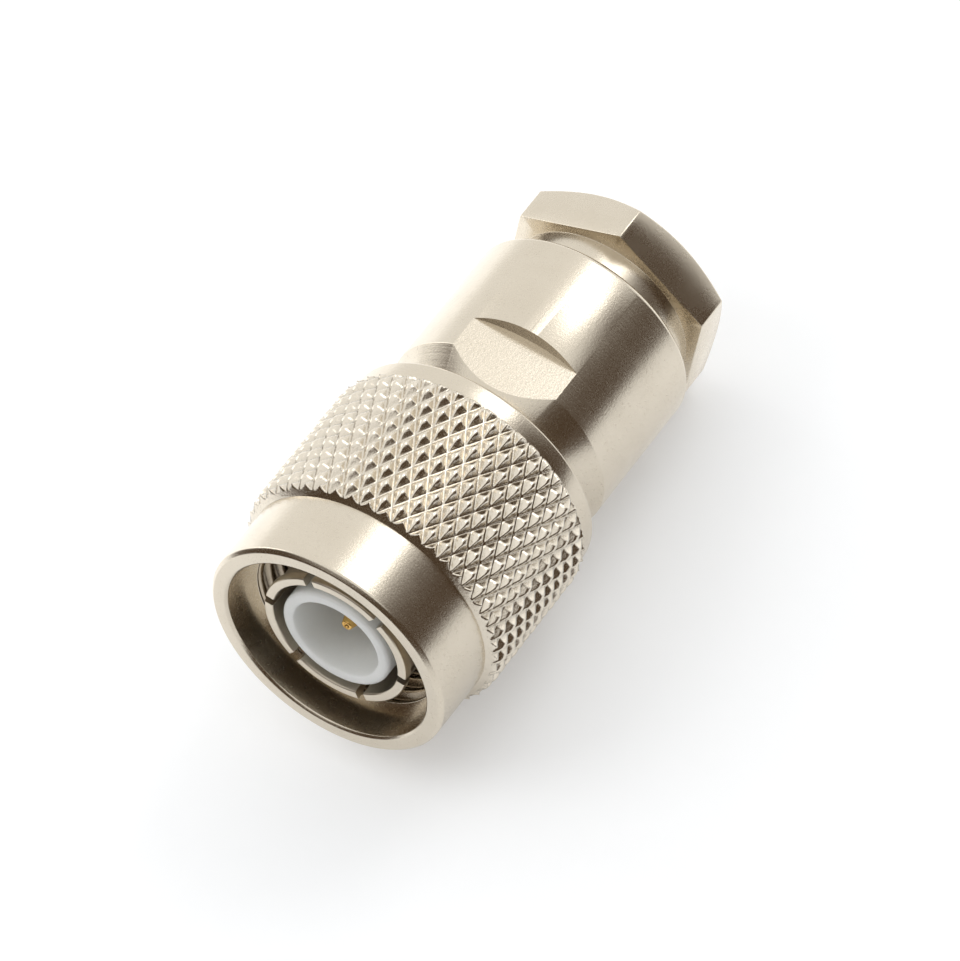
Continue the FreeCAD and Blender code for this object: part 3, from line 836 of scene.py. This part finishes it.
# Floor: pale sheet that shows white to the camera and keeps the soft shadow
floorLook = {
    "reach": 1.6, "color": (0.785, 0.80, 0.82, 1), "mottleColor": (0.805, 0.82, 0.84, 1), "mottleScale": 900.0,
    "roughness": 0.7, "gloss": 0.2, "ownLight": 0.26,
    "brightAzimuth": -125, "nearAt": -0.010, "farAt": 0.016,    # metres towards the bright side
    "nearShine": 0.2, "farShine": 0.58,
}
floorMaterial, floorTree, floorShader = newMaterial("paleSheet")
floorShader.inputs["Roughness"].default_value = floorLook["roughness"]
floorShader.inputs["Specular IOR Level"].default_value = floorLook["gloss"]
coordinates = addNode(floorTree, "ShaderNodeTexCoord")
mottle = addNode(floorTree, "ShaderNodeTexNoise", None, {"Scale": floorLook["mottleScale"], "Detail": 2.0})
floorTree.links.new(coordinates.outputs["Object"], mottle.inputs["Vector"])
floorTint = mixColors(floorTree, mottle.outputs["Fac"], floorLook["color"], floorLook["mottleColor"])
floorTree.links.new(floorTint, floorShader.inputs["Base Color"])
path = addNode(floorTree, "ShaderNodeLightPath")
seen = mathNode(floorTree, "ADD", path.outputs["Is Camera Ray"], path.outputs["Is Transmission Ray"], True)
# In the metal the sheet shines more at the left and behind, nearer the lamps: a painted glow, seen by glossy
# rays only, standing in for lamp light on the sheet.
shine = addNode(floorTree, "ShaderNodeMapRange", {"interpolation_type": "SMOOTHSTEP"}, {
    "From Min": floorLook["nearAt"], "From Max": floorLook["farAt"],
    "To Min": floorLook["nearShine"], "To Max": floorLook["farShine"]})
towardsBright = dotWith(floorTree, coordinates.outputs["Object"], heading(floorLook["brightAzimuth"], 0))
floorTree.links.new(towardsBright, shine.inputs["Value"])
shine = mathNode(floorTree, "MULTIPLY", shine.outputs[0], path.outputs["Is Glossy Ray"])
floorShader.inputs["Emission Color"].default_value = (1, 1, 1, 1)
glow = mathNode(floorTree, "ADD", mathNode(floorTree, "MULTIPLY", seen, floorLook["ownLight"]), shine)
floorTree.links.new(glow, floorShader.inputs["Emission Strength"])
sheetCorners = [Vector((x, y, 0)) * floorLook["reach"] for x, y in ((-1, -1), (1, -1), (1, 1), (-1, 1))]
floorSheet = addPiece("floorSheet", makeMesh("floorSheet", sheetCorners, [(0, 1, 2, 3)], False))
floorSheet.location.z = cadBox[0][2]        # under the lowest corner of the hexagon
floorSheet.data.materials.append(floorMaterial)
print("floor made")

# Dark card: a low curved strip at the front and right that only the metal shows, a painted dark reflection of
# the dim room
card = {
    "color": (0.078, 0.050, 0.029, 1), "reach": 0.060, "height": 0.016,
    "fromAzimuth": -72, "toAzimuth": 134, "parts": 48,
}
cardMaterial = bpy.data.materials.new("darkReflectionCard")
cardMaterial.use_nodes = True
cardTree = cardMaterial.node_tree
cardTree.nodes.clear()
cardGlow = addNode(cardTree, "ShaderNodeEmission", None, {"Color": card["color"]})
cardOut = addNode(cardTree, "ShaderNodeOutputMaterial")
cardTree.links.new(cardGlow.outputs[0], cardOut.inputs[0])
cardCorners = []
for i in range(card["parts"] + 1):
    azimuth = card["fromAzimuth"] + (card["toAzimuth"] - card["fromAzimuth"]) * i / card["parts"]
    foot = heading(azimuth, 0) * card["reach"]
    cardCorners += [foot, foot + Vector((0, 0, card["height"]))]
cardFaces = [(2 * i, 2 * i + 2, 2 * i + 3, 2 * i + 1) for i in range(card["parts"])]
darkReflectionCard = addPiece("darkReflectionCard", makeMesh("darkReflectionCard", cardCorners, cardFaces, False))
darkReflectionCard.data.materials.append(cardMaterial)
darkReflectionCard.visible_camera = False
darkReflectionCard.visible_diffuse = False
darkReflectionCard.visible_shadow = False

# Lamps: one over and behind the plug, a tall one at its left, and a soft one at its
# left front that the metal doesn't show. From holds azimuth and elevation; lengths are metres.
lampsAim = Vector((0, 0, 0.008))
lamps = {
    "back": {"from": (160.5, 51), "distance": 0.2, "size": (0.086, 0.066), "level": 2.6, "shines": True},
    "left": {"from": (-98, 23), "distance": 0.3, "size": (0.095, 0.20), "level": 1.35, "shines": True},
    "front": {"from": (-50, 45), "distance": 0.3, "size": (0.16, 0.16), "level": 2.0, "shines": False},
}
for lampName, lamp in lamps.items():
    light = bpy.data.lights.new(lampName + "Lamp", "AREA")
    light.shape = "RECTANGLE"
    light.size, light.size_y = lamp["size"]
    light.energy = lamp["level"] * math.pi * light.size * light.size_y
    holder = bpy.data.objects.new(lampName + "Lamp", light)
    holder.visible_glossy = lamp["shines"]
    bpy.context.scene.collection.objects.link(holder)
    toLamp = heading(*lamp["from"])
    holder.location = lampsAim + toLamp * lamp["distance"]
    holder.rotation_mode = "QUATERNION"
    holder.rotation_quaternion = toLamp.to_track_quat("Z", "Y")

# Room: pale at the left, behind and above, and dark and warm at the front and right
room = {
    "darkColor": (0.078, 0.050, 0.029, 1), "paleColor": (1.0, 1.0, 0.99, 1), "darkForDiffuse": 0.75,
    "darkAzimuth": 30, "sideFrom": -0.42, "sideTo": -0.18, "highFrom": 0.57, "highTo": 0.82,
}
world = bpy.data.worlds.new("room")
bpy.context.scene.world = world
world.use_nodes = True
worldTree = world.node_tree
worldTree.nodes.clear()
sky = addNode(worldTree, "ShaderNodeTexCoord")
towardsDark = dotWith(worldTree, sky.outputs["Generated"], heading(room["darkAzimuth"], 0))
aside = addNode(worldTree, "ShaderNodeMapRange", {"interpolation_type": "SMOOTHSTEP"}, {
    "From Min": room["sideFrom"], "From Max": room["sideTo"]})
worldTree.links.new(towardsDark, aside.inputs["Value"])
upwards = dotWith(worldTree, sky.outputs["Generated"], (0, 0, 1))
low = addNode(worldTree, "ShaderNodeMapRange", {"interpolation_type": "SMOOTHSTEP"}, {
    "From Min": room["highFrom"], "From Max": room["highTo"], "To Min": 1.0, "To Max": 0.0})
worldTree.links.new(upwards, low.inputs["Value"])
darkness = mathNode(worldTree, "MULTIPLY", aside.outputs[0], low.outputs[0])
# The camera sees a plain white backdrop, and surfaces that don't shine get part of the darkness.
worldPath = addNode(worldTree, "ShaderNodeLightPath")
share = mathNode(worldTree, "MAXIMUM", worldPath.outputs["Is Glossy Ray"], room["darkForDiffuse"])
offCamera = mathNode(worldTree, "SUBTRACT", 1.0, worldPath.outputs["Is Camera Ray"])
share = mathNode(worldTree, "MULTIPLY", share, offCamera)
darkness = mathNode(worldTree, "MULTIPLY", darkness, share)
background = addNode(worldTree, "ShaderNodeBackground", None, {"Strength": 1.0})
roomColor = mixColors(worldTree, darkness, room["paleColor"], room["darkColor"])
worldTree.links.new(roomColor, background.inputs["Color"])
worldOut = addNode(worldTree, "ShaderNodeOutputWorld")
worldTree.links.new(background.outputs[0], worldOut.inputs[0])
print("light made")

# Camera at the photograph's place
view = {
    "place": (0.1987214, -0.1966656, 0.3644234), "turn": (36.6972, 10.33008, 31.82497),
    "lens": 338.776, "sensor": 36, "nearest": 0.01,
}
cameraData = bpy.data.cameras.new("camera")
cameraData.lens = view["lens"]
cameraData.sensor_width = view["sensor"]
cameraData.clip_start = view["nearest"]
camera = bpy.data.objects.new("camera", cameraData)
bpy.context.scene.collection.objects.link(camera)
camera.location = view["place"]
camera.rotation_euler = [math.radians(angle) for angle in view["turn"]]
bpy.context.scene.camera = camera
bpy.context.scene.view_settings.view_transform = "Standard"
